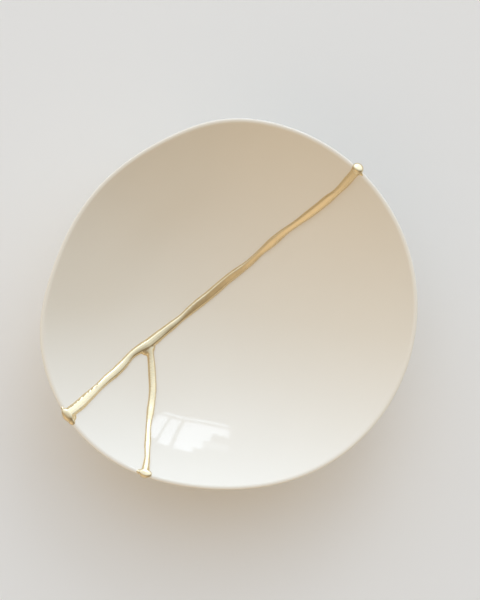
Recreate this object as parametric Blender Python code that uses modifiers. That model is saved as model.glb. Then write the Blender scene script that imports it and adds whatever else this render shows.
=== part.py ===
"""Kintsugi bowl: a small porcelain bowl, broken into three shards and mended with gold.

Metres, +Z up. The bowl stands on its foot ring, with the origin on the table under its middle.
Seen from above with +Y up, the main crack runs from the upper right to the lower left, and a
branch leaves it for the lower rim. The bowl and its mend are modelled round, and then they are
pressed out of round together, as the soft clay was.
"""
import math

import bmesh
import bpy
from mathutils import Vector

# Bowl
RIM_RADIUS = 0.0527
BOWL_DEPTH = 0.0216
LIP_THICKNESS = 0.0016
FLOOR_THICKNESS = 0.0030

# Foot ring, and how high the underside stands inside it
FOOT_RADIUS = 0.0205
FOOT_WIDTH = 0.0027
FOOT_CHAMFER = 0.0004
UNDERSIDE_HEIGHT = 0.0012

# Crack and mend: the groove between the shards, and the bead of gold over it
CRACK_WIDTH = 0.0014
CLEARANCE = 0.0003
BEAD_WIDTH = 0.0026
BEAD_HEIGHT = 0.0008
OUTSIDE_BEAD_WIDTH = 0.0019
OUTSIDE_BEAD_HEIGHT = 0.0005
BEAD_ROOT = 0.00025
FOOT_MARGIN = 0.0010

# How far the rim was pressed in or drawn out while the clay was soft
UPPER_LEFT_PRESS = 0.0032
LOWER_LEFT_DRAW = 0.0036
LOWER_PRESS = 0.0031

# Where: direction in degrees, spread in degrees, sharpness, and the rim's move outwards
PRESSES = (
    (140.0, 41.0, 4, -UPPER_LEFT_PRESS),
    (231.0, 45.0, 2, LOWER_LEFT_DRAW),
    (259.0, 33.0, 2, -LOWER_PRESS),
)
PRESS_FULL_AT = 0.75

# The cracks from above: x and y as shares of the rim's radius, and the bead's width as a
# share of BEAD_WIDTH. The first and last points lie on the rim, where the gold caps the lip.
MAIN_CRACK = (
    (0.683, 0.731, 1.30),
    (0.628, 0.663, 0.80),
    (0.526, 0.569, 1.05),
    (0.443, 0.506, 1.00),
    (0.357, 0.444, 0.85),
    (0.227, 0.342, 1.05),
    (0.172, 0.296, 0.75),
    (0.000, 0.155, 1.05),
    (-0.105, 0.065, 1.15),
    (-0.205, -0.015, 1.10),
    (-0.263, -0.065, 0.85),
    (-0.383, -0.161, 1.20),
    (-0.443, -0.209, 1.30),
    (-0.526, -0.266, 0.90),
    (-0.591, -0.342, 1.10),
    (-0.674, -0.420, 0.95),
    (-0.769, -0.510, 1.10),
    (-0.830, -0.558, 1.60),
)
FORK = 12
FORK_SHARE = 0.95
BRANCH_CRACK = (
    (-0.428, -0.292, 0.80),
    (-0.412, -0.420, 0.80),
    (-0.416, -0.546, 0.90),
    (-0.426, -0.628, 0.65),
    (-0.431, -0.727, 0.72),
    (-0.433, -0.814, 0.70),
    (-0.448, -0.894, 1.50),
)

# Fineness of the faceted solids
TURN_STEPS = 80
INNER_STEPS = 9
LIP_STEPS = 5
OUTER_STEPS = 6
RECESS_STEPS = 3
SPAN_STEPS = 2
BEAD_STEPS = 6
FAR_STEPS = 8
SMOOTH_ANGLE = math.radians(35)
LEAST_STEP = 0.0004
MERGE_DISTANCE = 0.00001
SHARD_KEEP = 0.85
SEAM_KEEP = 0.55

# Finishes: linear colour, roughness, metallic
GLAZE = ((0.86, 0.84, 0.78), 0.12, 0.0)
GOLD = ((0.60, 0.42, 0.15), 0.25, 1.0)

# Derived places on the profile. The floor and the underside are two balls' surfaces, and the
# lip is a round edge that touches both.
FLOOR_HEIGHT = UNDERSIDE_HEIGHT + FLOOR_THICKNESS
LIP_ROUND = LIP_THICKNESS / 2
LIP_RADIUS = RIM_RADIUS - LIP_ROUND
LIP_HEIGHT = FLOOR_HEIGHT + BOWL_DEPTH - LIP_ROUND
INNER_RISE = LIP_HEIGHT - FLOOR_HEIGHT
OUTER_RISE = LIP_HEIGHT - UNDERSIDE_HEIGHT
INNER_BALL = (LIP_RADIUS**2 + INNER_RISE**2 - LIP_ROUND**2) / (2 * (INNER_RISE + LIP_ROUND))
OUTER_BALL = (LIP_RADIUS**2 + OUTER_RISE**2 - LIP_ROUND**2) / (2 * (OUTER_RISE - LIP_ROUND))
INNER_CENTRE = FLOOR_HEIGHT + INNER_BALL
OUTER_CENTRE = UNDERSIDE_HEIGHT + OUTER_BALL
INNER_TOUCH = math.atan2(LIP_HEIGHT - INNER_CENTRE, LIP_RADIUS)
OUTER_TOUCH = math.atan2(LIP_HEIGHT - OUTER_CENTRE, LIP_RADIUS)
LIP_START = INNER_TOUCH + math.pi

# How far the cutters reach past the bowl, as shares of its radius and its height
CUTTER_REACH = 1.5
CUTTER_RISE = 4
FAR_RADIUS = CUTTER_REACH * RIM_RADIUS
PRISM_HEIGHT = CUTTER_RISE * (FLOOR_HEIGHT + BOWL_DEPTH)


def clear_scene():
    for obj in list(bpy.data.objects):
        bpy.data.objects.remove(obj, do_unlink=True)


def add_collection(name):
    collection = bpy.data.collections.new(name)
    bpy.context.scene.collection.children.link(collection)
    return collection


def make_material(name, finish):
    color, roughness, metallic = finish
    material = bpy.data.materials.new(name)
    material.use_nodes = True
    shader = material.node_tree.nodes["Principled BSDF"]
    shader.inputs["Base Color"].default_value = (*color, 1.0)
    shader.inputs["Roughness"].default_value = roughness
    shader.inputs["Metallic"].default_value = metallic
    material.diffuse_color = (*color, 1.0)
    return material


def arc(radius, height, size, start, end, steps):
    """Points on an arc about (radius, height), both ends included."""
    points = []
    for i in range(steps + 1):
        angle = start + (end - start) * i / steps
        points.append((radius + size * math.cos(angle), height + size * math.sin(angle)))
    return points


def bowl_profile(grow, foot_lift):
    """Half section from the floor's middle over the lip to the underside's middle.

    grow thickens the wall on both faces, and foot_lift raises the foot's contact face.
    """
    down = -math.pi / 2
    ball = OUTER_BALL + grow
    foot_outer = FOOT_RADIUS + grow
    foot_inner = FOOT_RADIUS - FOOT_WIDTH - grow
    at_outer = -math.acos(foot_outer / ball)
    at_inner = -math.acos(foot_inner / ball)
    lip = arc(LIP_RADIUS, LIP_HEIGHT, LIP_ROUND + grow, LIP_START, OUTER_TOUCH, LIP_STEPS)
    profile = arc(0, INNER_CENTRE, INNER_BALL - grow, down, INNER_TOUCH, INNER_STEPS)
    profile += lip[1:]
    profile += arc(0, OUTER_CENTRE, ball, OUTER_TOUCH, at_outer, OUTER_STEPS)[1:]
    profile += [
        (foot_outer, foot_lift + FOOT_CHAMFER),
        (foot_outer - FOOT_CHAMFER, foot_lift),
        (foot_inner + FOOT_CHAMFER, foot_lift),
        (foot_inner, foot_lift + FOOT_CHAMFER),
    ]
    profile += arc(0, OUTER_CENTRE, ball, at_inner, down, RECESS_STEPS)
    return profile


def turned_solid(name, collection, grow=0.0, foot_lift=0.0):
    """The whole bowl, turned from its profile."""
    profile = bowl_profile(grow, foot_lift)
    mesh = bpy.data.meshes.new(name)
    edges = [(i, i + 1) for i in range(len(profile) - 1)]
    mesh.from_pydata([(x, 0, z) for x, z in profile], edges, [])
    obj = bpy.data.objects.new(name, mesh)
    collection.objects.link(obj)
    screw = obj.modifiers.new("turning", "SCREW")
    screw.steps = TURN_STEPS
    screw.render_steps = TURN_STEPS
    screw.use_merge_vertices = True
    screw.merge_threshold = MERGE_DISTANCE
    return obj


def smooth_path(points):
    """A smooth curve through the points, with SPAN_STEPS stations in each span."""
    vectors = [Vector(point) for point in points]
    vectors = [2 * vectors[0] - vectors[1], *vectors, 2 * vectors[-1] - vectors[-2]]
    path = []
    for a, b, c, d in zip(vectors, vectors[1:], vectors[2:], vectors[3:]):
        for step in range(SPAN_STEPS):
            t = step / SPAN_STEPS
            bend = (2 * a - 5 * b + 4 * c - d) * t + (3 * b - a - 3 * c + d) * t * t
            path.append(b + ((c - a) + bend) * t / 2)
    path.append(vectors[-2])
    return path


def plan_path(points):
    """A crack's smooth path in metres: each station is (x, y, width share)."""
    return [Vector((p.x * RIM_RADIUS, p.y * RIM_RADIUS, p.z)) for p in smooth_path(points)]


def flat(station):
    return Vector((station[0], station[1]))


def carried_on(inner, end, radius):
    """Where the line from inner through end, carried on, is the radius from the middle."""
    along = (end - inner).normalized()
    behind = end.dot(along)
    return end + along * (math.sqrt(behind**2 - end.length_squared + radius**2) - behind)


def stretched(path, radius, both_ends=True):
    """The path's plan points, carried on straight past the rim to the radius."""
    plan = [flat(station) for station in path]
    if both_ends:
        plan.insert(0, carried_on(plan[1], plan[0], radius))
    plan.append(carried_on(plan[-2], plan[-1], radius))
    return plan


def moved_aside(plan, amount):
    """The plan points moved to the left of their direction by the amount."""
    moved = []
    for i, point in enumerate(plan):
        along = (plan[min(i + 1, len(plan) - 1)] - plan[max(i - 1, 0)]).normalized()
        moved.append(point + Vector((-along.y, along.x)) * amount)
    return moved


def prism(name, outline, collection):
    """An upright solid on a flat outline, tall enough to pass right through the bowl."""
    curve = bpy.data.curves.new(name, "CURVE")
    curve.dimensions = "2D"
    curve.fill_mode = "BOTH"
    curve.extrude = PRISM_HEIGHT / 2
    spline = curve.splines.new("POLY")
    spline.points.add(len(outline) - 1)
    for spline_point, (x, y) in zip(spline.points, outline):
        spline_point.co = (x, y, 0, 1)
    spline.use_cyclic_u = True
    drawn = bpy.data.objects.new(name, curve)
    collection.objects.link(drawn)
    mesh = evaluated_mesh(drawn)
    bpy.data.objects.remove(drawn)
    clean_mesh(mesh)
    obj = bpy.data.objects.new(name, mesh)
    collection.objects.link(obj)
    obj.hide_render = True
    obj.display_type = "WIRE"
    return obj


def crack_side(name, plan, side, collection):
    """Everything on one side of a crack, half the crack's width away from its middle.

    side is +1 for the left of the crack's direction and -1 for the right.
    """
    edge = moved_aside(plan, side * CRACK_WIDTH / 2)
    first = math.atan2(edge[0].y, edge[0].x)
    last = math.atan2(edge[-1].y, edge[-1].x)
    sweep = side * ((side * (first - last)) % (2 * math.pi))
    far = arc(0, 0, FAR_RADIUS, last, last + sweep, FAR_STEPS)
    return prism(name, edge + far, collection)


def crack_filling(name, main_path, branch_path, collection):
    """The gold that fills both cracks, from just over the glaze to just over the outside."""
    half = CRACK_WIDTH / 2 - CLEARANCE
    main_plan = stretched(main_path, RIM_RADIUS + BEAD_WIDTH)
    branch_plan = stretched(branch_path, RIM_RADIUS + BEAD_WIDTH, both_ends=False)
    fork = FORK * SPAN_STEPS + 1
    lower_edge = moved_aside(main_plan, half)
    branch_edges = moved_aside(branch_plan, half) + moved_aside(branch_plan, -half)[::-1]
    outline = lower_edge[:fork] + branch_edges + lower_edge[fork + 1 :]
    outline += moved_aside(main_plan, -half)[::-1]
    filling = turned_solid(name, collection, CLEARANCE + BEAD_ROOT, CLEARANCE)
    combine(filling, "INTERSECT", prism("both_cracks", outline, collection))
    return filling


def combine(obj, operation, other):
    """Add a Boolean between two closed solids."""
    cut = obj.modifiers.new(f"{operation.lower()} {other.name}", "BOOLEAN")
    cut.operation = operation
    cut.object = other
    cut.solver = "EXACT"


def evaluated_mesh(obj):
    bpy.context.view_layer.update()
    graph = bpy.context.evaluated_depsgraph_get()
    return bpy.data.meshes.new_from_object(obj.evaluated_get(graph))


def clean_mesh(mesh):
    """Weld the mesh and make it triangles, with its faces pointing out."""
    work = bmesh.new()
    work.from_mesh(mesh)
    bmesh.ops.remove_doubles(work, verts=work.verts, dist=MERGE_DISTANCE)
    bmesh.ops.triangulate(work, faces=work.faces)
    bmesh.ops.recalc_face_normals(work, faces=work.faces)
    work.to_mesh(mesh)
    work.free()


def on_inside(plan):
    """The point of the inner face over a plan point, and the face's normal there."""
    drop = math.sqrt(INNER_BALL**2 - plan.length_squared)
    point = Vector((plan.x, plan.y, INNER_CENTRE - drop))
    return point, (Vector((0, 0, INNER_CENTRE)) - point).normalized()


def on_outside(plan):
    """The point of the outer face under a plan point, and the face's normal there."""
    drop = math.sqrt(OUTER_BALL**2 - plan.length_squared)
    point = Vector((plan.x, plan.y, OUTER_CENTRE - drop))
    return point, (point - Vector((0, 0, OUTER_CENTRE))).normalized()


def on_lip(inner, end, angle):
    """The point of the lip over the line from inner through end, at an angle on its round edge."""
    direction = carried_on(inner, end, LIP_RADIUS + LIP_ROUND * math.cos(angle)).normalized()
    normal = Vector((direction.x * math.cos(angle), direction.y * math.cos(angle), math.sin(angle)))
    middle = Vector((direction.x * LIP_RADIUS, direction.y * LIP_RADIUS, LIP_HEIGHT))
    return middle + normal * LIP_ROUND, normal


def between(path, low, high):
    """The path's stations whose distance from the bowl's middle is from low to high.

    Where the path crosses either radius, a station is added there.
    """
    kept = []
    for a, b in zip(path, path[1:]):
        near, far = flat(a).length, flat(b).length
        if low <= near <= high:
            kept.append(a)
        for radius in sorted((low, high), reverse=near > far):
            if min(near, far) < radius < max(near, far):
                kept.append(a.lerp(b, (radius - near) / (far - near)))
    if low <= flat(path[-1]).length <= high:
        kept.append(path[-1])
    return kept


def inside_bead(share):
    return BEAD_WIDTH * share, BEAD_HEIGHT * math.sqrt(share)


def outside_bead(share):
    return OUTSIDE_BEAD_WIDTH * share, OUTSIDE_BEAD_HEIGHT * math.sqrt(share)


def inside_run(path):
    """Bead stations along the inner face, as (point, normal, width, height)."""
    reach = INNER_BALL * math.cos(INNER_TOUCH)
    return [(*on_inside(flat(s)), *inside_bead(s.z)) for s in between(path, 0, reach)]


def outside_run(path, low):
    """Bead stations along the outer face, from the radius low out to the lip."""
    reach = OUTER_BALL * math.cos(OUTER_TOUCH)
    return [(*on_outside(flat(s)), *outside_bead(s.z)) for s in between(path, low, reach)]


def lip_run(inner, end):
    """Bead stations over the lip, from the inside to the outside."""
    run = []
    for i in range(1, LIP_STEPS):
        share = i / LIP_STEPS
        angle = LIP_START + (OUTER_TOUCH - LIP_START) * share
        inside = Vector(inside_bead(end.z))
        size = inside.lerp(Vector(outside_bead(end.z)), share)
        run.append((*on_lip(flat(inner), flat(end), angle), *size))
    return run


def well_spaced(run):
    """The run without the stations that nearly meet the one before."""
    kept = run[:1]
    for station in run[1:]:
        if (station[0] - kept[-1][0]).length > LEAST_STEP:
            kept.append(station)
    return kept


def bead(name, run, collection):
    """A half-round bead lofted along its stations, flat below and clear of the glaze."""
    rings = []
    run = well_spaced(run)
    for i, (point, normal, width, height) in enumerate(run):
        along = run[min(i + 1, len(run) - 1)][0] - run[max(i - 1, 0)][0]
        across = along.cross(normal).normalized()
        ring = []
        for step in range(BEAD_STEPS + 1):
            angle = math.pi * step / BEAD_STEPS
            rise = CLEARANCE + height * math.sin(angle)
            ring.append(point + across * (width / 2 * math.cos(angle)) + normal * rise)
        rings.append(ring)
    work = bmesh.new()
    rows = [[work.verts.new(place) for place in ring] for ring in rings]
    sides = BEAD_STEPS + 1
    for row, following in zip(rows, rows[1:]):
        for k in range(sides):
            after = (k + 1) % sides
            work.faces.new((row[k], row[after], following[after], following[k]))
    work.faces.new(rows[0])
    work.faces.new(rows[-1])
    mesh = bpy.data.meshes.new(name)
    work.to_mesh(mesh)
    work.free()
    clean_mesh(mesh)
    obj = bpy.data.objects.new(name, mesh)
    collection.objects.link(obj)
    return obj


def pressed(place):
    """Where a point of the round bowl goes when the bowl is pressed out of round."""
    radius = math.hypot(place.x, place.y)
    start = FOOT_RADIUS / RIM_RADIUS
    ramp = min(max((radius / RIM_RADIUS - start) / (PRESS_FULL_AT - start), 0), 1)
    ramp = ramp * ramp * (3 - 2 * ramp)
    heading = math.degrees(math.atan2(place.y, place.x))
    moved = 0
    for direction, spread, sharpness, amount in PRESSES:
        away = abs((heading - direction + 180) % 360 - 180)
        moved += amount * math.exp(-((away / spread) ** sharpness))
    scale = 1 + ramp * moved / RIM_RADIUS
    return Vector((place.x * scale, place.y * scale, place.z))


def finish_part(obj, material, kept_share):
    """Turn the part into one pressed triangle mesh, smooth but for its sharp edges.

    kept_share is the share of the triangles that stays when the cuts' slivers are weeded out.
    """
    obj.modifiers.new("triangles", "TRIANGULATE")
    weeding = obj.modifiers.new("weeding", "DECIMATE")
    weeding.ratio = kept_share
    mesh = evaluated_mesh(obj)
    obj.modifiers.clear()
    obj.data = mesh
    for vertex in mesh.vertices:
        vertex.co = pressed(vertex.co)
    mesh.shade_smooth()
    mesh.set_sharp_from_angle(angle=SMOOTH_ANGLE)
    mesh.materials.clear()
    mesh.materials.append(material)


def centre_parts(parts):
    """Move the finished bowl so that the middle of its box is over the origin."""
    corners = [vertex.co for part in parts for vertex in part.data.vertices]
    middle_x = (min(c.x for c in corners) + max(c.x for c in corners)) / 2
    middle_y = (min(c.y for c in corners) + max(c.y for c in corners)) / 2
    for corner in corners:
        corner.x -= middle_x
        corner.y -= middle_y


def make_shards(parts, cutters, main_path, branch_path):
    """Three copies of the bowl, each cut back to its own side of the cracks."""
    main_plan = stretched(main_path, FAR_RADIUS)
    branch_plan = stretched(branch_path, FAR_RADIUS)
    upper_side = crack_side("upper_side", main_plan, -1, cutters)
    lower_side = crack_side("lower_side", main_plan, 1, cutters)
    wedge_side = crack_side("wedge_side", branch_plan, -1, cutters)
    right_side = crack_side("right_side", branch_plan, 1, cutters)
    sides_of_shards = {
        "shard_large_upper": (upper_side,),
        "shard_large_lower": (lower_side, right_side),
        "shard_small_wedge": (lower_side, wedge_side),
    }
    shards = []
    for name, sides in sides_of_shards.items():
        shard = turned_solid(name, parts)
        for side in sides:
            combine(shard, "INTERSECT", side)
        shards.append(shard)
    return shards


def make_seam(parts, cutters, main_path, branch_path):
    """The gold: beads over both cracks, round the lip and under the bowl, and their fillings."""
    foot_out = FOOT_RADIUS + FOOT_MARGIN
    foot_in = FOOT_RADIUS - FOOT_WIDTH - FOOT_MARGIN
    middle = len(main_path) // 2
    run = outside_run(main_path[middle::-1], foot_out)
    run += lip_run(main_path[1], main_path[0])[::-1]
    run += inside_run(main_path)
    run += lip_run(main_path[-2], main_path[-1])
    run += outside_run(main_path[middle:], foot_out)[::-1]
    seam = bead("gold_seam", run, parts)
    branch_run = inside_run(branch_path) + lip_run(branch_path[-2], branch_path[-1])
    branch_run += outside_run(branch_path, 0)[::-1]
    under_path = between(main_path, 0, foot_in)
    under_run = [(*on_outside(flat(s)), *outside_bead(s.z)) for s in under_path]
    pieces = [
        bead("branch_bead", branch_run, cutters),
        bead("under_bead", under_run, cutters),
        crack_filling("crack_filling", main_path, branch_path, cutters),
    ]
    for piece in pieces:
        combine(seam, "UNION", piece)
    return seam


def main():
    clear_scene()
    parts = add_collection("kintsugi_bowl")
    cutters = add_collection("cutters")
    main_path = plan_path(MAIN_CRACK)
    fork = (*MAIN_CRACK[FORK][:2], FORK_SHARE)
    branch_path = plan_path((fork, *BRANCH_CRACK))
    shards = make_shards(parts, cutters, main_path, branch_path)
    seam = make_seam(parts, cutters, main_path, branch_path)
    glaze = make_material("glazed_porcelain", GLAZE)
    gold = make_material("gold_lacquer", GOLD)
    for shard in shards:
        finish_part(shard, glaze, SHARD_KEEP)
    finish_part(seam, gold, SEAM_KEEP)
    centre_parts([*shards, seam])
    for helper in list(cutters.objects):
        bpy.data.objects.remove(helper)


main()
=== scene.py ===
"""Kintsugi bowl: a small porcelain bowl, broken into three shards and mended with gold.

The finished look of the part, in metres, +Z up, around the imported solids. Each porcelain shard
and the gold mend are modelled again as fine smooth pieces, which stand for the faceted nodes.
Everything is turned round first, then pressed out of round together, as the soft clay was.
"""
import math

import bpy
from mathutils import Matrix, Vector


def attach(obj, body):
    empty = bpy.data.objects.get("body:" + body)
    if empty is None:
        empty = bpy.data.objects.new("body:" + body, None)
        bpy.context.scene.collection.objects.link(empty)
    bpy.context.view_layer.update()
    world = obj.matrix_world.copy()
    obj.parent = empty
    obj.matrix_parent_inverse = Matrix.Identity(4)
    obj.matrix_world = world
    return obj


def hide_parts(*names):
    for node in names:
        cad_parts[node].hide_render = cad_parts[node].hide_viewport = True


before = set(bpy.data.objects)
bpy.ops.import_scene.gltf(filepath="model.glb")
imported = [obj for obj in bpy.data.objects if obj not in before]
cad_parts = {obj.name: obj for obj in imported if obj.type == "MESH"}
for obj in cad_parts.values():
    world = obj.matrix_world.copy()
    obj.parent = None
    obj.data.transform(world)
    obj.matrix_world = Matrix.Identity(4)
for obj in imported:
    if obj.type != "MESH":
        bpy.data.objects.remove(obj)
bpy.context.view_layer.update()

bl_info = {
    "name": "Kintsugi bowl",
    "version": (1, 0, 0),
    "blender": (4, 5, 0),
    "location": "View3D > Sidebar > Kintsugi",
    "description": "Models a porcelain bowl in three shards, its gold mend and a plain studio",
    "category": "Add Mesh",
}

MM = 0.001

# Where the clay was pressed in (-) or drawn out (+): direction in degrees, spread in degrees,
# sharpness, and how far the rim moved in mm
PRESSES = (
    (140.0, 41.0, 4, -3.2),
    (231.0, 45.0, 2, 3.6),
    (259.0, 33.0, 2, -3.1),
)
# A press fades out from this share of the rim's radius in to the foot ring
PRESS_FULL_AT = 0.75

# The cracks from above: x and y as shares of the rim's radius, and the bead's width as a
# share of its usual width. The first and last points lie on the rim.
MAIN_CRACK = (
    (0.683, 0.731, 1.05),
    (0.628, 0.663, 1.02),
    (0.572, 0.607, 0.82),
    (0.526, 0.569, 1.08),
    (0.443, 0.506, 0.99),
    (0.357, 0.444, 0.83),
    (0.287, 0.394, 0.95),
    (0.227, 0.342, 1.06),
    (0.172, 0.296, 0.80),
    (0.092, 0.223, 0.90),
    (0.000, 0.155, 1.07),
    (-0.105, 0.065, 1.13),
    (-0.205, -0.015, 1.12),
    (-0.263, -0.065, 0.86),
    (-0.323, -0.113, 1.01),
    (-0.383, -0.161, 1.20),
    (-0.443, -0.209, 1.25),
    (-0.491, -0.239, 1.08),
    (-0.526, -0.266, 0.89),
    (-0.555, -0.302, 1.05),
    (-0.591, -0.342, 1.10),
    (-0.634, -0.380, 1.08),
    (-0.674, -0.420, 0.98),
    (-0.728, -0.472, 1.15),
    (-0.769, -0.510, 1.25),
    (-0.830, -0.558, 1.20),
)
# The main crack's point that the branch starts from, counted from 0
FORK = 16
BRANCH_CRACK = (
    (-0.443, -0.209, 0.85),
    (-0.428, -0.292, 0.78),
    (-0.416, -0.380, 0.83),
    (-0.410, -0.461, 0.79),
    (-0.416, -0.546, 0.88),
    (-0.426, -0.628, 0.66),
    (-0.431, -0.727, 0.72),
    (-0.433, -0.814, 0.66),
    (-0.448, -0.894, 1.05),
)
# Stations in each span between two points of a crack
SPAN_STEPS = 4

# Where the lip's gentle inner round meets its tight outer edge: the normal's angle in degrees
LIP_JOINT = 75.0

# Faces along the half section's arcs, and around the bowl
INNER_STEPS = 72
LIP_STEPS = 12
OUTER_STEPS = 48
FOOT_STEPS = 6
RECESS_STEPS = 20
TURN_STEPS = 360
# Points closer together than this are merged
MERGE_DISTANCE = 0.001 * MM
# Edges of the porcelain flatter than this many degrees are shaded smooth
SMOOTH_ANGLE = 35.0

# The blocks that cut along the cracks: reach as a share of the rim's radius, height as a share
# of the bowl's depth, and steps around the outer end
CUTTER_REACH = 1.5
CUTTER_HEIGHT = 4
CUTTER_STEPS = 12

# Gold that pooled over the lip: the middle's heading in degrees, then its drops. A drop is
# (along the rim counter-clockwise, inwards from the lip's top, up from the surface), its half
# length, width and thickness, all in mm, and its lean towards the bowl's middle in degrees.
LIP_POOLS = (
    (
        46.9,
        (
            ((0.0, -0.4, -0.15), (1.7, 1.6, 1.05), 0),
            ((-0.1, 1.0, -0.4), (1.5, 1.3, 0.8), 0),
            ((-1.6, 0.1, -0.4), (1.3, 0.5, 0.5), 0),
        ),
    ),
    (
        213.9,
        (
            ((0.1, -0.1, -0.2), (2.1, 1.35, 1.1), 22),
            ((1.9, -0.05, -0.45), (1.5, 0.95, 0.85), 0),
            ((1.0, 1.1, -0.4), (1.6, 1.3, 0.8), 0),
            ((-1.8, -0.3, -0.3), (0.95, 0.5, 0.5), 0),
        ),
    ),
    (
        243.4,
        (
            ((-0.1, 0.5, 0.0), (1.85, 1.25, 0.65), 2),
            ((-1.6, 0.3, -0.3), (1.2, 0.7, 0.5), 10),
            ((-0.4, 1.6, -0.4), (1.1, 1.6, 0.75), 0),
        ),
    ),
)

# Drops on the inside: x and y as shares of the rim's radius, heading of the length in degrees,
# then half length, width and thickness in mm, and how deep the middle is sunk, or raised where
# that is below 0
INSIDE_DROPS = (
    (-0.446, -0.236, 38.0, (2.3, 1.8, 1.0), 0.35),
    (-0.692, -0.420, 38.0, (1.0, 0.45, 0.5), -0.3),
    (-0.716, -0.440, 38.0, (0.5, 0.42, 0.5), -0.3),
    (-0.730, -0.454, 38.0, (0.6, 0.42, 0.5), -0.3),
    (-0.757, -0.475, 38.0, (0.6, 0.42, 0.5), -0.3),
    (-0.775, -0.493, 38.0, (0.55, 0.42, 0.5), -0.3),
    (-0.789, -0.505, 38.0, (0.5, 0.42, 0.5), -0.3),
)
# How square a drop's section is: 2 is a ball's, and more is flatter on top
DROP_SQUARENESS = 3.0

# The gold inside the cracks: how far it laps into the clay at each side, stands out of the wall,
# stays clear of the table and runs past the rim before it is trimmed
FILLING_LAP = 0.04 * MM
FILLING_GROW = 0.08 * MM
FILLING_LIFT = 0.08 * MM
FILLING_REACH = 2 * MM
# How far the gold lines run into the foot ring from both sides
FOOT_OVERLAP = 0.6 * MM
# Spans of a gold line over the lip, and rounds of smoothing once the gold is melted together
LIP_SPANS = 8
MELT_SMOOTHING = 10

# The rods that the gold line is laid from, side by side: how far aside and the radius as shares
# of the line's width, and the rod's top as a share of the line's height. The outermost make a
# thin flange along each edge.
LINE_RODS = (
    (-0.36, 0.15, 0.25),
    (-0.18, 0.25, 0.96),
    (0.0, 0.27, 1.0),
    (0.18, 0.25, 0.96),
    (0.36, 0.15, 0.25),
)

# The room's two glows: azimuth and elevation of the middle in degrees, and how narrow it is
DAY_GLOW = (79.7, -0.6, 0.95)
BOUNCE_GLOW = (234.3, 40.0, 2.4)

# The camera: its place in mm, and its focal length in pixels of a picture 600 pixels high
CAMERA_PLACE = (3.14, 1.15, 475)
FOCAL_PIXELS = 1607
PICTURE_HEIGHT = 600
SENSOR_HEIGHT = 24.0
FLOOR_WIDTH = 6.0
FLOOR_DROP = 0.02 * MM

# The window's panes on an upright wall one metre away: from and to sideways, from and to in
# height, in metres, and their share of the window's brightness
WALL_FACING = 49.2
WALL_DISTANCE = 1.0
PANES = (
    (0.275, 0.887, 0.893, 0.922, 1.0),
    (0.255, 0.360, 0.530, 0.860, 1.0),
    (0.385, 0.475, 0.500, 0.860, 1.0),
    (0.512, 0.640, 0.500, 0.860, 1.0),
    (0.640, 0.700, 0.560, 0.860, 1.0),
    (0.700, 0.750, 0.680, 0.860, 1.0),
    (0.750, 0.888, 0.770, 0.860, 1.0),
    (0.700, 0.888, 0.590, 0.680, 0.25),
)


def linear(hex_colour):
    """An sRGB hex colour as linear red, green, blue and alpha."""
    colour = []
    for i in (0, 2, 4):
        value = int(hex_colour[i : i + 2], 16) / 255
        colour.append(value / 12.92 if value <= 0.04045 else ((value + 0.055) / 1.055) ** 2.4)
    return (*colour, 1.0)


# Settings in the sidebar


def length(label, text, default):
    """A length property in metres."""
    return bpy.props.FloatProperty(
        name=label,
        description=text,
        default=default,
        min=0.0,
        precision=5,
        unit="LENGTH",
        subtype="DISTANCE",
    )


def colour(label, text, hex_colour):
    """A colour property, from its hex value."""
    return bpy.props.FloatVectorProperty(
        name=label, description=text, default=linear(hex_colour), size=4, min=0.0, max=1.0, subtype="COLOR"
    )


def strength(label, text, default):
    """A light's brightness."""
    return bpy.props.FloatProperty(name=label, description=text, default=default, min=0.0)


class KINTSUGI_bowl_sizes(bpy.types.PropertyGroup):
    """Sizes and colour of the porcelain bowl"""

    rim_radius: length("Rim radius", "From the middle to the lip's outside, before pressing", 52.65 * MM)
    depth: length("Depth", "From the floor's middle to the top of the lip", 21.6 * MM)
    lip_edge: length("Lip edge", "Radius of the lip's tight outer edge", 0.38 * MM)
    lip_ease: length("Lip ease", "Radius of the lip's gentle inner round", 1.1 * MM)
    floor: length("Floor thickness", "Thickness of the wall at the floor's middle", 3.0 * MM)
    foot_radius: length("Foot radius", "Outer radius of the foot ring", 20.5 * MM)
    foot_width: length("Foot width", "Width of the foot ring", 2.7 * MM)
    foot_round: length("Foot rounding", "Radius of the foot ring's two lower edges", 0.4 * MM)
    recess: length("Recess", "Height of the underside inside the foot ring", 1.2 * MM)
    glaze: colour("Glaze", "Colour of the glazed porcelain", "F1E5CF")
    clay: colour("Bare clay", "Colour of the unglazed clay under the foot", "D9CFBE")


class KINTSUGI_mend_sizes(bpy.types.PropertyGroup):
    """Sizes and colour of the gold mend"""

    crack: length("Crack", "Width of the gap between the shards", 1.1 * MM)
    bead_width: length("Bead width", "Usual width of the gold line on the inside", 2.6 * MM)
    bead_height: length("Bead height", "Height of the gold line over the glaze on the inside", 0.8 * MM)
    back_width: length("Back width", "Width of the gold line on the outside", 1.8 * MM)
    back_height: length("Back height", "Height of the gold line on the outside", 0.32 * MM)
    lump: length("Lumps", "How far lumps raise and lower the gold", 0.1 * MM)
    lump_size: length("Lump size", "Size of one lump along the line", 4.5 * MM)
    grid: length("Fineness", "Size of the grid that the gold is melted together on", 0.17 * MM)
    gold: colour("Gold", "Colour of the gold powder", "E8CB8C")


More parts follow.
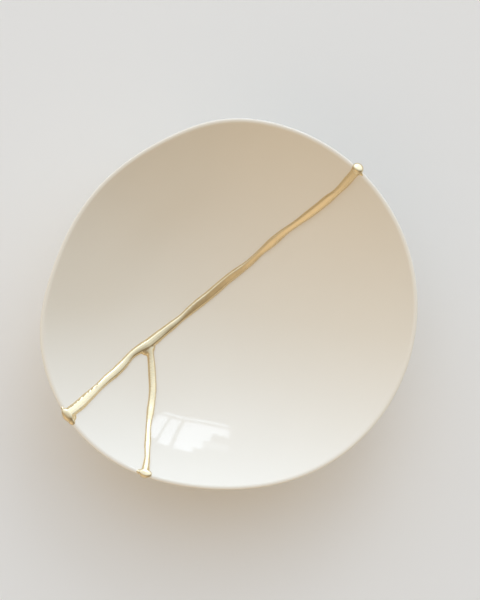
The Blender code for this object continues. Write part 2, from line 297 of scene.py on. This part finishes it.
class KINTSUGI_stage_settings(bpy.types.PropertyGroup):
    """Floor and light"""

    floor: colour("Floor", "Colour of the plain floor", "F0EBE1")
    window: strength("Window", "Brightness of the window's panes", 4.0)
    window_tint: colour("Window tint", "Colour of the window's light", "DEECFF")
    day: strength("Daylight", "Brightness of the room's side towards the window", 2.4)
    day_tint: colour("Daylight tint", "Colour of the room's side towards the window", "CBE1FF")
    bounce: strength("Bounce", "Brightness of the wall that sends daylight back", 0.66)
    bounce_tint: colour("Bounce tint", "Colour of the light sent back", "FFEEDB")
    dim: strength("Dim light", "Brightness of the rest of the room", 0.28)
    dim_tint: colour("Dim tint", "Colour of the rest of the room", "FFF4E2")


# Shapes


class BowlForm:
    """The round bowl: its floor and underside are two balls' surfaces that touch the round lip."""

    def __init__(self, sizes):
        self.sizes = sizes
        self.joint = math.radians(LIP_JOINT)
        step = sizes.lip_ease - sizes.lip_edge
        floor = sizes.recess + sizes.floor
        edge_radius = sizes.rim_radius - sizes.lip_edge
        ease_height = floor + sizes.depth - sizes.lip_ease
        self.edge = Vector((edge_radius, ease_height + step * math.sin(self.joint)))
        self.ease = Vector((edge_radius - step * math.cos(self.joint), ease_height))
        rise = self.ease.y - floor
        across = self.ease.x**2 - sizes.lip_ease**2
        self.inner_ball = (across + rise**2) / (2 * (rise + sizes.lip_ease))
        self.inner_centre = floor + self.inner_ball
        rise = self.edge.y - sizes.recess
        across = self.edge.x**2 - sizes.lip_edge**2
        self.outer_ball = (across + rise**2) / (2 * (rise - sizes.lip_edge))
        self.outer_centre = sizes.recess + self.outer_ball
        self.inner_touch = math.atan2(self.ease.y - self.inner_centre, self.ease.x)
        self.outer_touch = math.atan2(self.edge.y - self.outer_centre, self.edge.x)
        self.lip_start = self.inner_touch + math.pi

    def inside(self, plan):
        """The point of the inner face over a plan point, and the face's normal there."""
        drop = math.sqrt(self.inner_ball**2 - plan.length_squared)
        point = Vector((plan.x, plan.y, self.inner_centre - drop))
        return point, (Vector((0, 0, self.inner_centre)) - point).normalized()

    def outside(self, plan):
        """The point of the outer face under a plan point, and the face's normal there."""
        drop = math.sqrt(self.outer_ball**2 - plan.length_squared)
        point = Vector((plan.x, plan.y, self.outer_centre - drop))
        return point, (point - Vector((0, 0, self.outer_centre))).normalized()

    def lip_section(self, angle):
        """Radius and height of the lip's surface where its normal has that angle."""
        middle, size = self.edge, self.sizes.lip_edge
        if angle > self.joint:
            middle, size = self.ease, self.sizes.lip_ease
        return middle + Vector((math.cos(angle), math.sin(angle))) * size

    def down_the_wall(self, back):
        """Radius and height at a distance inwards from the lip's top, and the normal's angle."""
        sizes = self.sizes
        angle = math.pi / 2 + back / sizes.lip_ease
        if angle < self.joint:
            angle = self.joint + (angle - self.joint) * sizes.lip_ease / sizes.lip_edge
        if angle <= self.lip_start:
            return self.lip_section(angle), angle
        polar = self.inner_touch - (angle - self.lip_start) * sizes.lip_ease / self.inner_ball
        place = Vector((math.cos(polar), math.sin(polar))) * self.inner_ball
        return place + Vector((0, self.inner_centre)), polar + math.pi

    def pressed(self, place):
        """Where a point of the round bowl goes when the bowl is pressed out of round."""
        radius = math.hypot(place.x, place.y) / self.sizes.rim_radius
        start = self.sizes.foot_radius / self.sizes.rim_radius
        ramp = min(max((radius - start) / (PRESS_FULL_AT - start), 0), 1)
        ramp = ramp * ramp * (3 - 2 * ramp)
        heading = math.degrees(math.atan2(place.y, place.x))
        moved = 0
        for direction, spread, sharpness, amount in PRESSES:
            away = abs((heading - direction + 180) % 360 - 180)
            moved += amount * MM * math.exp(-((away / spread) ** sharpness))
        scale = 1 + ramp * moved / self.sizes.rim_radius
        return Vector((place.x * scale, place.y * scale, place.z))


def arc(radius, height, size, start, end, steps):
    """Points of a half section on an arc about (radius, height), both ends included."""
    points = []
    for i in range(steps + 1):
        angle = start + (end - start) * i / steps
        points.append(Vector((radius + size * math.cos(angle), 0, height + size * math.sin(angle))))
    return points


def bowl_section(form, grow=0.0, foot_lift=0.0):
    """Half section from the floor's middle over the lip to the underside's middle.

    grow thickens the wall on both faces, and foot_lift raises the foot's contact face.
    """
    sizes = form.sizes
    down = -math.pi / 2
    ball = form.outer_ball + grow
    edge = sizes.foot_round
    foot_outer = sizes.foot_radius + grow
    foot_inner = sizes.foot_radius - sizes.foot_width - grow
    fine = 1
    inner_steps, outer_steps, recess_steps = (
        int(steps * fine) for steps in (INNER_STEPS, OUTER_STEPS, RECESS_STEPS)
    )
    wall_end = -math.acos(foot_outer / ball)
    recess_start = -math.acos(foot_inner / ball)
    section = arc(0, form.inner_centre, form.inner_ball - grow, down, form.inner_touch, inner_steps)
    section += arc(*form.ease, sizes.lip_ease + grow, form.lip_start, form.joint, LIP_STEPS)[1:]
    section += arc(*form.edge, sizes.lip_edge + grow, form.joint, form.outer_touch, LIP_STEPS)[1:]
    section += arc(0, form.outer_centre, ball, form.outer_touch, wall_end, outer_steps)[1:]
    section += arc(foot_outer - edge, foot_lift + edge, edge, 0, down, FOOT_STEPS)
    section += arc(foot_inner + edge, foot_lift + edge, edge, down, -math.pi, FOOT_STEPS)
    section += arc(0, form.outer_centre, ball, recess_start, down, recess_steps)
    return section


def smooth_path(points, scale):
    """A smooth curve through the points, with SPAN_STEPS stations in each span."""
    vectors = [Vector((x * scale, y * scale, share)) for x, y, share in points]
    vectors = [2 * vectors[0] - vectors[1], *vectors, 2 * vectors[-1] - vectors[-2]]
    path = []
    for a, b, c, d in zip(vectors, vectors[1:], vectors[2:], vectors[3:]):
        for step in range(SPAN_STEPS):
            t = step / SPAN_STEPS
            bend = (2 * a - 5 * b + 4 * c - d) * t + (3 * b - a - 3 * c + d) * t * t
            path.append(b + ((c - a) + bend) * t / 2)
    path.append(vectors[-2])
    return path


def flat(station):
    """A station's place from above."""
    return Vector((station[0], station[1]))


def carried_on(inner, end, radius):
    """Where the line from inner through end, carried on, is the radius from the middle."""
    along = (end - inner).normalized()
    behind = end.dot(along)
    return end + along * (math.sqrt(behind**2 - end.length_squared + radius**2) - behind)


def moved_aside(plan, amount):
    """The plan points moved to the left of their direction by the amount."""
    moved = []
    for i, point in enumerate(plan):
        along = (plan[min(i + 1, len(plan) - 1)] - plan[max(i - 1, 0)]).normalized()
        moved.append(point + Vector((-along.y, along.x)) * amount)
    return moved


# Modelling steps


def pick(obj):
    """Leave the object alone selected and active."""
    bpy.ops.object.select_all(action="DESELECT")
    obj.select_set(True)
    bpy.context.view_layer.objects.active = obj


def draw_line(name, points):
    """A chain of edges through the points, drawn by extruding one vertex."""
    bpy.ops.object.select_all(action="DESELECT")
    bpy.ops.mesh.primitive_plane_add(size=MM, location=(0, 0, 0))
    line = bpy.context.object
    line.name = name
    bpy.ops.object.mode_set(mode="EDIT")
    bpy.ops.mesh.merge(type="CENTER")
    bpy.ops.transform.translate(value=points[0])
    for a, b in zip(points, points[1:]):
        bpy.ops.mesh.extrude_region_move(TRANSFORM_OT_translate={"value": b - a})
    bpy.ops.mesh.select_all(action="SELECT")
    return line


def turn_bowl(name, form, grow=0.0, foot_lift=0.0):
    """The whole bowl, spun from its half section."""
    bowl = draw_line(name, bowl_section(form, grow, foot_lift))
    steps = TURN_STEPS
    bpy.ops.mesh.spin(steps=steps, angle=2 * math.pi, center=(0, 0, 0), axis=(0, 0, 1))
    bpy.ops.mesh.select_all(action="SELECT")
    bpy.ops.mesh.remove_doubles(threshold=MERGE_DISTANCE)
    bpy.ops.mesh.normals_make_consistent(inside=False)
    bpy.ops.object.mode_set(mode="OBJECT")
    return bowl


def raise_outline(name, outline, height):
    """An upright block on a flat outline, as far below the table's plane as above it."""
    block = draw_line(name, [Vector((p.x, p.y, -height / 2)) for p in outline])
    bpy.ops.mesh.edge_face_add()
    bpy.ops.mesh.extrude_region_move(TRANSFORM_OT_translate={"value": (0, 0, height)})
    bpy.ops.mesh.select_all(action="SELECT")
    bpy.ops.mesh.normals_make_consistent(inside=False)
    bpy.ops.object.mode_set(mode="OBJECT")
    return block


def apply_modifier(obj, kind, **settings):
    """Add a modifier with its settings, and apply it."""
    pick(obj)
    modifier = obj.modifiers.new(kind.lower(), kind)
    for name, value in settings.items():
        setattr(modifier, name, value)
    bpy.ops.object.modifier_apply(modifier=modifier.name)


def trim(obj, tool):
    """Keep only what lies inside the tool, and delete the tool."""
    apply_modifier(obj, "BOOLEAN", operation="INTERSECT", object=tool, solver="EXACT")
    bpy.data.objects.remove(tool)


def tube(name, stations):
    """A round rod with closed ends, through (place, radius) stations."""
    bpy.ops.object.select_all(action="DESELECT")
    bpy.ops.curve.primitive_nurbs_path_add(location=(0, 0, 0))
    rod = bpy.context.object
    rod.name = name
    curve = rod.data
    curve.splines.clear()
    spline = curve.splines.new("POLY")
    spline.points.add(len(stations) - 1)
    for point, (place, radius) in zip(spline.points, stations):
        point.co = (*place, 1)
        point.radius = radius
    curve.bevel_depth = 1.0
    curve.bevel_resolution = 5
    curve.use_fill_caps = True
    bpy.ops.object.convert(target="MESH")
    rod = bpy.context.object
    bpy.ops.object.mode_set(mode="EDIT")
    bpy.ops.mesh.select_all(action="SELECT")
    bpy.ops.mesh.remove_doubles(threshold=MERGE_DISTANCE)
    bpy.ops.mesh.normals_make_consistent(inside=False)
    bpy.ops.object.mode_set(mode="OBJECT")
    return rod


def settle(piece, form, middle):
    """Press the round piece as the soft clay was pressed, and stand it over its foot's place."""
    for vertex in piece.data.vertices:
        vertex.co = form.pressed(vertex.co) + middle


def foot_middle():
    """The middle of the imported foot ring's contact face."""
    feet = []
    for name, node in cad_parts.items():
        if name.startswith("shard"):
            feet += [v.co for v in node.data.vertices if v.co.z < 0.01 * MM]
    x = (min(c.x for c in feet) + max(c.x for c in feet)) / 2
    y = (min(c.y for c in feet) + max(c.y for c in feet)) / 2
    return Vector((x, y, 0))


def dress(piece, node, material):
    """Give the piece its finish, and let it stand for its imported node."""
    piece.data.materials.clear()
    piece.data.materials.append(material)
    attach(piece, "root")
    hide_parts(node)


# Finishes


def add_node(tree, kind, settings=(), values=(), links=()):
    """Add a node with its settings and socket values, fed by {socket: (node, output)}."""
    node = tree.nodes.new(kind)
    for name, value in dict(settings).items():
        setattr(node, name, value)
    for name, value in dict(values).items():
        node.inputs[name].default_value = value
    for name, (source, output) in dict(links).items():
        tree.links.new(source.outputs[output], node.inputs[name])
    return node


def new_material(name):
    """An empty node material, and its tree."""
    material = bpy.data.materials.new(name)
    material.use_nodes = True
    material.node_tree.nodes.clear()
    return material, material.node_tree


def glazed_porcelain(sizes):
    """Thrown porcelain under a clear gloss glaze: a warm white body with a glassy sheen that
    softens a mirrored edge a little, and bare matt clay where the foot was wiped for the kiln."""
    material, tree = new_material("glazed_porcelain")
    place = add_node(tree, "ShaderNodeTexCoord")
    # clouds of iron in the clay, about a finger's width across
    clouds = add_node(
        tree,
        "ShaderNodeTexNoise",
        values={"Scale": 60.0, "Detail": 3.0},
        links={"Vector": (place, "Object")},
    )
    tint = add_node(
        tree,
        "ShaderNodeMix",
        {"data_type": "RGBA"},
        {6: sizes.glaze, 7: tuple(0.975 * c for c in sizes.glaze[:3]) + (1.0,)},
        {0: (clouds, "Fac")},
    )
    height = add_node(tree, "ShaderNodeSeparateXYZ", links={"Vector": (place, "Object")})
    # the glaze ends at a wandering line between 0.25 and 0.75 mm up the foot
    wander = add_node(
        tree,
        "ShaderNodeMath",
        {"operation": "MULTIPLY_ADD"},
        {1: 0.5 * MM, 2: 0.25 * MM},
        {0: (clouds, "Fac")},
    )
    bare = add_node(
        tree, "ShaderNodeMath", {"operation": "LESS_THAN"}, links={0: (height, "Z"), 1: (wander, 0)}
    )
    body = add_node(
        tree, "ShaderNodeMix", {"data_type": "RGBA"}, {7: sizes.clay}, {0: (bare, 0), 6: (tint, 2)}
    )
    gloss = add_node(
        tree, "ShaderNodeMapRange", values={"To Min": 0.055, "To Max": 0.75}, links={"Value": (bare, 0)}
    )
    # the glaze's slow ripple, about 9 mm from crest to crest
    ripple = add_node(
        tree,
        "ShaderNodeTexNoise",
        values={"Scale": 110.0, "Detail": 1.0},
        links={"Vector": (place, "Object")},
    )
    relief = add_node(
        tree,
        "ShaderNodeBump",
        values={"Strength": 0.25, "Distance": 0.02 * MM},
        links={"Height": (ripple, "Fac")},
    )
    shader = add_node(
        tree,
        "ShaderNodeBsdfPrincipled",
        values={"IOR": 1.5},
        links={"Base Color": (body, 2), "Roughness": (gloss, 0), "Normal": (relief, 0)},
    )
    add_node(tree, "ShaderNodeOutputMaterial", links={"Surface": (shader, 0)})
    return material


def powdered_gold(sizes):
    """Lacquer dusted with gold powder and burnished: pale molten-looking metal whose gloss is
    a little uneven, with the powder's fine grain in it."""
    material, tree = new_material("powdered_gold_lacquer")
    place = add_node(tree, "ShaderNodeTexCoord")
    # patches where the burnisher passed more or less, about 1.5 mm long
    patches = add_node(
        tree,
        "ShaderNodeTexNoise",
        values={"Scale": 700.0, "Detail": 2.0},
        links={"Vector": (place, "Object")},
    )
    # the powder's grain, drawn at about 0.15 mm because the real one is too fine to show
    grain = add_node(
        tree,
        "ShaderNodeTexNoise",
        values={"Scale": 6500.0, "Detail": 2.0},
        links={"Vector": (place, "Object")},
    )
    tint = add_node(
        tree,
        "ShaderNodeMix",
        {"data_type": "RGBA"},
        {6: sizes.gold, 7: tuple(0.9 * c for c in sizes.gold[:3]) + (1.0,)},
        {0: (patches, "Fac")},
    )
    gloss = add_node(
        tree,
        "ShaderNodeMapRange",
        values={"To Min": 0.11, "To Max": 0.19},
        links={"Value": (patches, "Fac")},
    )
    relief = add_node(
        tree,
        "ShaderNodeBump",
        values={"Strength": 0.2, "Distance": 0.01 * MM},
        links={"Height": (grain, "Fac")},
    )
    shader = add_node(
        tree,
        "ShaderNodeBsdfPrincipled",
        values={"Metallic": 1.0, "Coat Weight": 1.0, "Coat IOR": 2.5, "Coat Roughness": 0.04},
        links={"Base Color": (tint, 2), "Roughness": (gloss, 0), "Normal": (relief, 0)},
    )
    add_node(tree, "ShaderNodeOutputMaterial", links={"Surface": (shader, 0)})
    return material


# Porcelain


class KINTSUGI_OT_shards(bpy.types.Operator):
    """Turn the bowl, part it along its cracks, and press its shards out of round"""

    bl_idname = "kintsugi.shards"
    bl_label = "Porcelain shards"
    bl_options = {"REGISTER", "UNDO"}

    def execute(self, context):
        sizes = context.scene.kintsugi_bowl
        half = context.scene.kintsugi_mend.crack / 2
        form = BowlForm(sizes)
        middle = foot_middle()
        far = CUTTER_REACH * sizes.rim_radius
        plans = {}
        for name, points in (("main", MAIN_CRACK), ("branch", BRANCH_CRACK)):
            plan = [flat(s) for s in smooth_path(points, sizes.rim_radius)]
            plans[name] = [*plan, carried_on(plan[-2], plan[-1], far)]
        trunk = plans["main"]
        trunk.insert(0, carried_on(trunk[1], trunk[0], far))
        material = glazed_porcelain(sizes)
        sides = {
            "shard_large_upper": (("main", -1),),
            "shard_large_lower": (("main", 1), ("branch", 1)),
            "shard_small_wedge": (("main", 1), ("branch", -1)),
        }
        blank = turn_bowl("blank", form)
        for node, cuts in sides.items():
            shard = blank.copy()
            shard.data = blank.data.copy()
            shard.name = node.replace("shard", "porcelain")
            context.scene.collection.objects.link(shard)
            for crack, side in cuts:
                cutter = crack_side(plans[crack], side, half, far, CUTTER_HEIGHT * sizes.depth)
                trim(shard, cutter)
            settle(shard, form, middle)
            pick(shard)
            bpy.ops.object.shade_smooth_by_angle(angle=math.radians(SMOOTH_ANGLE))
            dress(shard, node, material)
        bpy.data.objects.remove(blank)
        return {"FINISHED"}


def crack_side(plan, side, half, far, height):
    """A block over everything on one side of a crack: the left with side +1, the right with -1."""
    edge = moved_aside(plan, side * half)
    first = math.atan2(edge[0].y, edge[0].x)
    last = math.atan2(edge[-1].y, edge[-1].x)
    sweep = side * ((side * (first - last)) % (2 * math.pi))
    outline = list(edge)
    for i in range(1, CUTTER_STEPS):
        angle = last + sweep * i / CUTTER_STEPS
        outline.append(Vector((far * math.cos(angle), far * math.sin(angle))))
    return raise_outline("crack_side", outline, height)


# Gold


def inside_line(form, mend, path):
    """Stations (place, normal, width, height) of the gold line along the inner face."""
    reach = form.inner_ball * math.cos(form.inner_touch)
    line = []
    for station in path:
        if flat(station).length <= reach:
            share = station.z
            point, normal = form.inside(flat(station))
            line.append((point, normal, mend.bead_width * share, mend.bead_height * math.sqrt(share)))
    return line


def outside_line(form, mend, path, low, high):
    """Stations of the gold line along the outer face, between two distances from the middle."""
    line = []
    for station in path:
        if low <= flat(station).length <= high:
            share = station.z
            point, normal = form.outside(flat(station))
            line.append((point, normal, mend.back_width * share, mend.back_height * math.sqrt(share)))
    return line


def lip_line(form, mend, inner, end):
    """Stations of the gold line over the lip, from the inside to the outside."""
    line = []
    for i in range(LIP_SPANS + 1):
        share = i / LIP_SPANS
        angle = form.lip_start + (form.outer_touch - form.lip_start) * share
        radius, height = form.lip_section(angle)
        heading = carried_on(flat(inner), flat(end), radius).normalized()
        point = Vector((*heading * radius, height))
        normal = Vector((*heading * math.cos(angle), math.sin(angle)))
        width = mend.bead_width + (mend.back_width - mend.bead_width) * share
        rise = mend.bead_height + (mend.back_height - mend.bead_height) * share
        line.append((point, normal, width * end.z, rise))
    return line


def lay_rods(line):
    """The rods that make the gold line on its stations."""
    rods = []
    for aside, size, top in LINE_RODS:
        stations = []
        for i, (point, normal, width, height) in enumerate(line):
            along = line[min(i + 1, len(line) - 1)][0] - line[max(i - 1, 0)][0]
            across = normal.cross(along).normalized()
            rise = top * height - size * width
            stations.append((point + across * aside * width + normal * rise, size * width))
        rods.append(tube("rod", stations))
    return rods


def crack_filling(form, mend, main, branch):
    """The gold through both cracks: a Y-shaped slice of a slightly thicker bowl."""
    half = mend.crack / 2 + FILLING_LAP
    far = form.sizes.rim_radius + FILLING_REACH
    trunk = [flat(s) for s in main]
    trunk = [carried_on(trunk[1], trunk[0], far), *trunk, carried_on(trunk[-2], trunk[-1], far)]
    limb = [flat(s) for s in branch]
    limb = [*limb, carried_on(limb[-2], limb[-1], far)]
    fork = FORK * SPAN_STEPS + 1
    lower_edge = moved_aside(trunk, half)
    outline = lower_edge[:fork] + moved_aside(limb, half) + moved_aside(limb, -half)[::-1]
    outline += lower_edge[fork + 2 :] + moved_aside(trunk, -half)[::-1]
    filling = turn_bowl("filling", form, FILLING_GROW, FILLING_LIFT)
    block = raise_outline("both_cracks", outline, CUTTER_HEIGHT * form.sizes.depth)
    trim(filling, block)
    return filling


def drop(middle, normal, along, size):
    """A flattened drop of gold: its middle, the way it faces, its length's way and half sizes."""
    bpy.ops.object.select_all(action="DESELECT")
    bpy.ops.mesh.primitive_uv_sphere_add(segments=24, ring_count=16, radius=1.0)
    blob = bpy.context.object
    blob.name = "drop"
    for vertex in blob.data.vertices:
        height = (1 - (1 - min(vertex.co.z**2, 1)) ** (DROP_SQUARENESS / 2)) ** (1 / DROP_SQUARENESS)
        vertex.co.z = math.copysign(height, vertex.co.z)
    across = normal.cross(along)
    turn = Matrix((along, across, normal)).transposed().to_4x4()
    blob.matrix_world = Matrix.Translation(middle) @ turn @ Matrix.Diagonal((*size, 1.0))
    bpy.ops.object.transform_apply(location=True, rotation=True, scale=True)
    return blob


def lip_pool(form, heading, drops):
    """A pool of gold on the lip, from its drops."""
    blobs = []
    for (along, back, up), size, lean in drops:
        (radius, height), angle = form.down_the_wall(back * MM)
        turn = math.radians(heading) + along * MM / form.ease.x
        outwards = Vector((math.cos(turn), math.sin(turn), 0))
        point = outwards * radius + Vector((0, 0, height))
        normal = outwards * math.cos(angle) + Vector((0, 0, math.sin(angle)))
        angle += math.radians(lean)
        facing = outwards * math.cos(angle) + Vector((0, 0, math.sin(angle)))
        round_the_rim = Vector((-math.sin(turn), math.cos(turn), 0))
        blobs.append(drop(point + normal * up * MM, facing, round_the_rim, [s * MM for s in size]))
    return blobs


def inside_drop(form, x, y, heading, size, sunk_by):
    """A drop of gold on the inner face."""
    point, normal = form.inside(Vector((x, y)) * form.sizes.rim_radius)
    turn = math.radians(heading)
    along = Vector((math.cos(turn), math.sin(turn), 0))
    along = (along - normal * along.dot(normal)).normalized()
    return drop(point - normal * sunk_by * MM, normal, along, [s * MM for s in size])


class KINTSUGI_OT_gold_mend(bpy.types.Operator):
    """Lay the gold into the cracks and over them, melt it together and give it slow lumps"""

    bl_idname = "kintsugi.gold_mend"
    bl_label = "Gold mend"
    bl_options = {"REGISTER", "UNDO"}

    def execute(self, context):
        sizes = context.scene.kintsugi_bowl
        mend = context.scene.kintsugi_mend
        form = BowlForm(sizes)
        main = smooth_path(MAIN_CRACK, sizes.rim_radius)
        branch = smooth_path(BRANCH_CRACK, sizes.rim_radius)
        foot_out = sizes.foot_radius - FOOT_OVERLAP
        foot_in = sizes.foot_radius - sizes.foot_width + FOOT_OVERLAP
        reach = form.outer_ball * math.cos(form.outer_touch)
        middle = len(main) // 2
        trunk = outside_line(form, mend, main[middle::-1], foot_out, reach)
        trunk += lip_line(form, mend, main[1], main[0])[::-1]
        trunk += inside_line(form, mend, main)
        trunk += lip_line(form, mend, main[-2], main[-1])
        trunk += outside_line(form, mend, main[middle:], foot_out, reach)[::-1]
        limb = inside_line(form, mend, branch) + lip_line(form, mend, branch[-2], branch[-1])
        limb += outside_line(form, mend, branch, 0, reach)[::-1]
        under = outside_line(form, mend, main, 0, foot_in)
        rods = [crack_filling(form, mend, main, branch)]
        for line in (trunk, limb, under):
            rods += lay_rods(line)
        for heading, drops in LIP_POOLS:
            rods += lip_pool(form, heading, drops)
        for x, y, heading, size, sunk_by in INSIDE_DROPS:
            rods.append(inside_drop(form, x, y, heading, size, sunk_by))
        bpy.ops.object.select_all(action="DESELECT")
        for rod in rods:
            rod.select_set(True)
        bpy.context.view_layer.objects.active = rods[0]
        bpy.ops.object.join()
        gold = bpy.context.object
        gold.name = "gold_mend"
        grid = mend.grid * 1
        apply_modifier(gold, "REMESH", mode="VOXEL", voxel_size=grid)
        lumps = bpy.data.textures.new("lumps", "CLOUDS")
        lumps.noise_scale = mend.lump_size
        lumps.noise_depth = 0
        apply_modifier(gold, "DISPLACE", texture=lumps, strength=2 * mend.lump, mid_level=0.5)
        apply_modifier(gold, "SMOOTH", factor=0.5, iterations=MELT_SMOOTHING)
        settle(gold, form, foot_middle())
        pick(gold)
        bpy.ops.object.shade_smooth()
        dress(gold, "gold_seam", powdered_gold(mend))
        return {"FINISHED"}


# Stage


def towards(azimuth, elevation):
    """The unit vector towards an azimuth (counter-clockwise from +X) and elevation in degrees."""
    level = math.cos(math.radians(elevation))
    turn = math.radians(azimuth)
    return Vector((level * math.cos(turn), level * math.sin(turn), math.sin(math.radians(elevation))))


class KINTSUGI_OT_stage(bpy.types.Operator):
    """Lay a plain floor, hang the lights and set up the camera"""

    bl_idname = "kintsugi.stage"
    bl_label = "Studio"
    bl_options = {"REGISTER", "UNDO"}

    def execute(self, context):
        settings = context.scene.kintsugi_stage
        bpy.ops.object.select_all(action="DESELECT")
        bpy.ops.mesh.primitive_plane_add(size=FLOOR_WIDTH, location=(0, 0, -FLOOR_DROP))
        floor = bpy.context.object
        floor.name = "floor"
        material, tree = new_material("matt_paint")
        shader = add_node(
            tree, "ShaderNodeBsdfPrincipled", values={"Base Color": settings.floor, "Roughness": 0.9}
        )
        add_node(tree, "ShaderNodeOutputMaterial", links={"Surface": (shader, 0)})
        floor.data.materials.append(material)
        self.light_room(context.scene, settings)
        self.hang_window(settings)
        self.set_camera(context.scene)
        return {"FINISHED"}

    def light_room(self, scene, settings):
        """Soft light from all round: broad daylight on one side, and a warm bounce opposite."""
        world = bpy.data.worlds.new("room")
        world.use_nodes = True
        tree = world.node_tree
        tree.nodes.clear()
        place = add_node(tree, "ShaderNodeTexCoord")
        glows = (
            (DAY_GLOW, settings.day, settings.day_tint),
            (BOUNCE_GLOW, settings.bounce, settings.bounce_tint),
        )
        rest = {2: Vector(settings.dim_tint[:3]) * settings.dim}
        light = None
        for (azimuth, elevation, focus), brightness, tint in glows:
            angle = add_node(
                tree,
                "ShaderNodeVectorMath",
                {"operation": "DOT_PRODUCT"},
                {1: towards(azimuth, elevation)},
                {0: (place, "Generated")},
            )
            ahead = add_node(
                tree, "ShaderNodeMath", {"operation": "MAXIMUM"}, {1: 0.0}, {0: (angle, "Value")}
            )
            share = add_node(tree, "ShaderNodeMath", {"operation": "POWER"}, {1: focus}, {0: (ahead, 0)})
            light = add_node(
                tree,
                "ShaderNodeVectorMath",
                {"operation": "MULTIPLY_ADD"},
                {0: Vector(tint[:3]) * brightness, **rest},
                {1: (share, 0), **({2: (light, 0)} if light else {})},
            )
            rest = {}
        backdrop = add_node(tree, "ShaderNodeBackground", links={"Color": (light, 0)})
        add_node(tree, "ShaderNodeOutputWorld", links={"Surface": (backdrop, 0)})
        scene.world = world

    def hang_window(self, settings):
        """A window of several panes, each an upright lamp of even brightness."""
        out = towards(WALL_FACING, 0)
        side = towards(WALL_FACING + 90, 0)
        for left, right, bottom, top, share in PANES:
            across, up = right - left, top - bottom
            middle = out * WALL_DISTANCE + side * (left + right) / 2 + Vector((0, 0, (bottom + top) / 2))
            bpy.ops.object.select_all(action="DESELECT")
            bpy.ops.object.light_add(type="AREA", location=middle)
            lamp = bpy.context.object
            lamp.name = "window_pane"
            lamp.data.shape = "RECTANGLE"
            lamp.data.size = across
            lamp.data.size_y = up
            lamp.data.energy = settings.window * share * math.pi * across * up
            lamp.data.color = settings.window_tint[:3]
            lamp.rotation_euler = out.to_track_quat("Z", "Y").to_euler()

    def set_camera(self, scene):
        """Straight above the bowl, with the picture's top towards +Y."""
        bpy.ops.object.select_all(action="DESELECT")
        bpy.ops.object.camera_add(location=Vector(CAMERA_PLACE) * MM, rotation=(0, 0, 0))
        camera = bpy.context.object
        camera.data.sensor_fit = "VERTICAL"
        camera.data.sensor_height = SENSOR_HEIGHT
        camera.data.lens = SENSOR_HEIGHT * FOCAL_PIXELS / PICTURE_HEIGHT
        camera.data.clip_start = 0.01
        scene.camera = camera


class KINTSUGI_PT_panel(bpy.types.Panel):
    """The bowl's settings and the steps that make it"""

    bl_label = "Kintsugi bowl"
    bl_idname = "KINTSUGI_PT_panel"
    bl_space_type = "VIEW_3D"
    bl_region_type = "UI"
    bl_category = "Kintsugi"

    def draw(self, context):
        layout = self.layout
        groups = (
            (context.scene.kintsugi_bowl, KINTSUGI_OT_shards),
            (context.scene.kintsugi_mend, KINTSUGI_OT_gold_mend),
            (context.scene.kintsugi_stage, KINTSUGI_OT_stage),
        )
        for group, operator in groups:
            box = layout.box()
            for name in group.__annotations__:
                box.prop(group, name)
            box.operator(operator.bl_idname)


CLASSES = (
    KINTSUGI_bowl_sizes,
    KINTSUGI_mend_sizes,
    KINTSUGI_stage_settings,
    KINTSUGI_OT_shards,
    KINTSUGI_OT_gold_mend,
    KINTSUGI_OT_stage,
    KINTSUGI_PT_panel,
)


def register():
    for cls in CLASSES:
        bpy.utils.register_class(cls)
    scene = bpy.types.Scene
    scene.kintsugi_bowl = bpy.props.PointerProperty(type=KINTSUGI_bowl_sizes)
    scene.kintsugi_mend = bpy.props.PointerProperty(type=KINTSUGI_mend_sizes)
    scene.kintsugi_stage = bpy.props.PointerProperty(type=KINTSUGI_stage_settings)


def unregister():
    scene = bpy.types.Scene
    del scene.kintsugi_bowl
    del scene.kintsugi_mend
    del scene.kintsugi_stage
    for cls in reversed(CLASSES):
        bpy.utils.unregister_class(cls)


def main():
    """Register the panel and its steps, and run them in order."""
    register()
    bpy.context.scene.view_settings.view_transform = "Standard"
    bpy.ops.kintsugi.stage()
    bpy.ops.kintsugi.shards()
    bpy.ops.kintsugi.gold_mend()
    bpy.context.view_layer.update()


if __name__ == "__main__":
    main()
